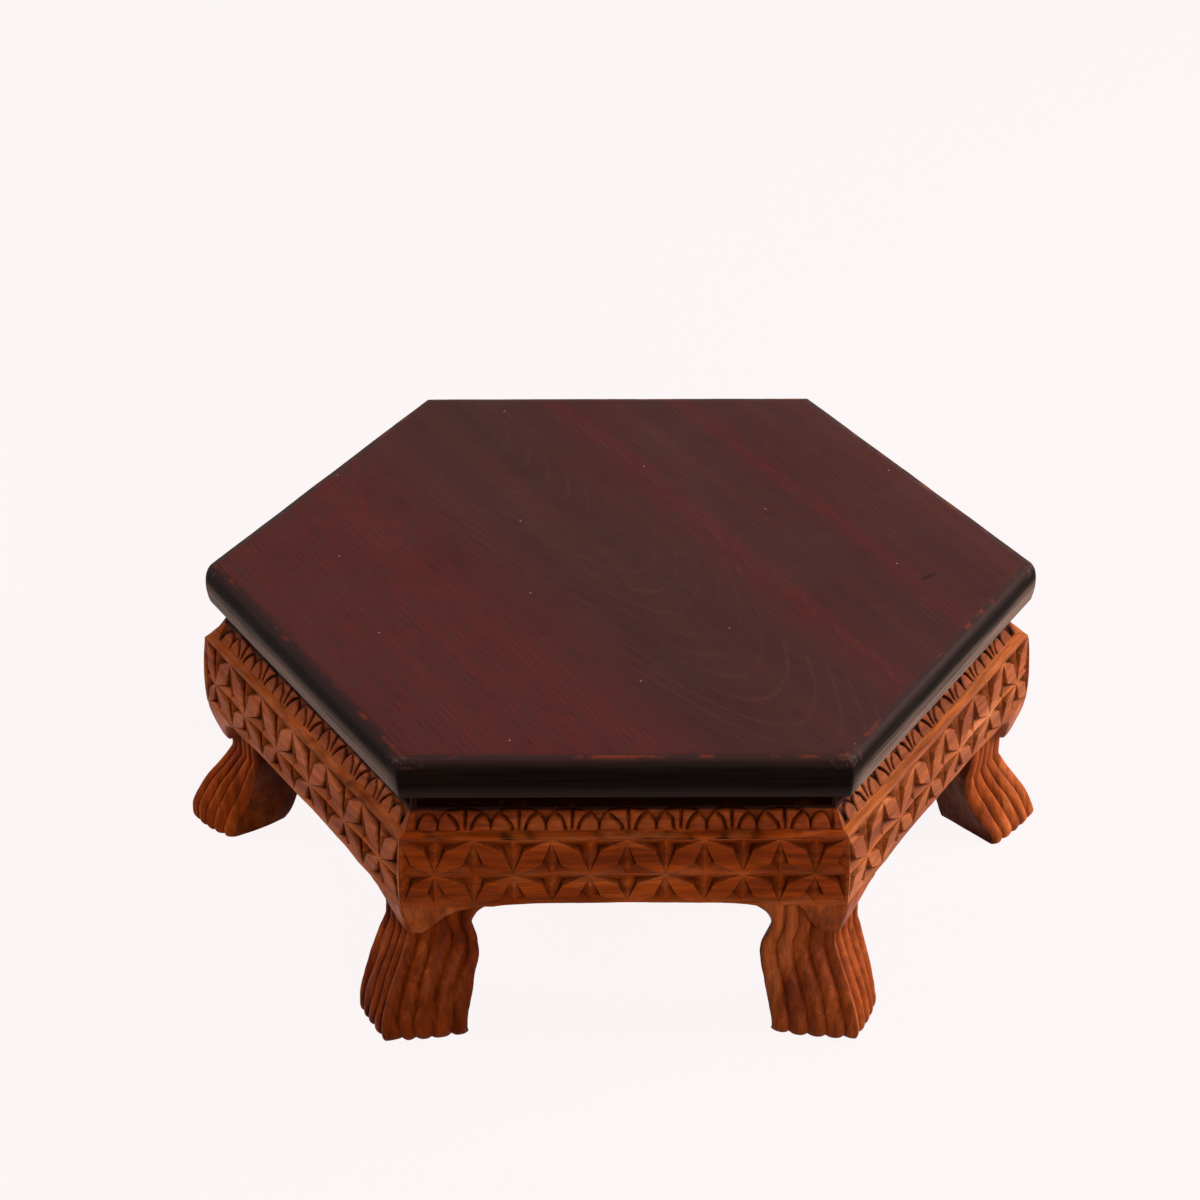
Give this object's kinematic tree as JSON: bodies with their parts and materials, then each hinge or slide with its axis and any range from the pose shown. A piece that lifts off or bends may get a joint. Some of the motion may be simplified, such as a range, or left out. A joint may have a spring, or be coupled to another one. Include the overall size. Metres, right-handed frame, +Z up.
{
  "type": "bajot low table",
  "caption": "Low hexagonal carved table: a thick board top with a rounded dark edge on mitred star-carved rails and short reeded corner legs.",
  "frame": {"origin": "middle of the footprint, on the floor", "axes": "+X from the middle to the right-hand corner (the table is longest from corner to corner), -Y towards the front side, +Z up"},
  "size_m": [0.531, 0.4608, 0.186],
  "materials": {
    "top_wood": "dark mahogany stain on sanded hardwood, waxed satin, with the moulded edge blackened and rubbed through in places",
    "carved_wood": "oiled orange-brown teak-like hardwood, chip carved, soft satin sheen",
    "plain_wood": "unfinished hardwood, sawn",
    "screw_steel": "plain zinc-plated steel"
  },
  "bodies": {
    "root": {"top_board_left": "top_wood", "top_board_middle": "top_wood", "top_board_right": "top_wood", "board_dowels": "plain_wood", "rail_front": "carved_wood", "rail_front_right": "carved_wood", "rail_back_right": "carved_wood", "rail_back": "carved_wood", "rail_back_left": "carved_wood", "rail_front_left": "carved_wood", "leg_right": "carved_wood", "leg_back_right": "carved_wood", "leg_back_left": "carved_wood", "leg_left": "carved_wood", "leg_front_left": "carved_wood", "leg_front_right": "carved_wood", "frame_dowels": "plain_wood", "glue_block_front": "plain_wood", "glue_block_front_right": "plain_wood", "glue_block_back_right": "plain_wood", "glue_block_back": "plain_wood", "glue_block_back_left": "plain_wood", "glue_block_front_left": "plain_wood", "top_screws": "screw_steel"}
  },
  "joints": []
}
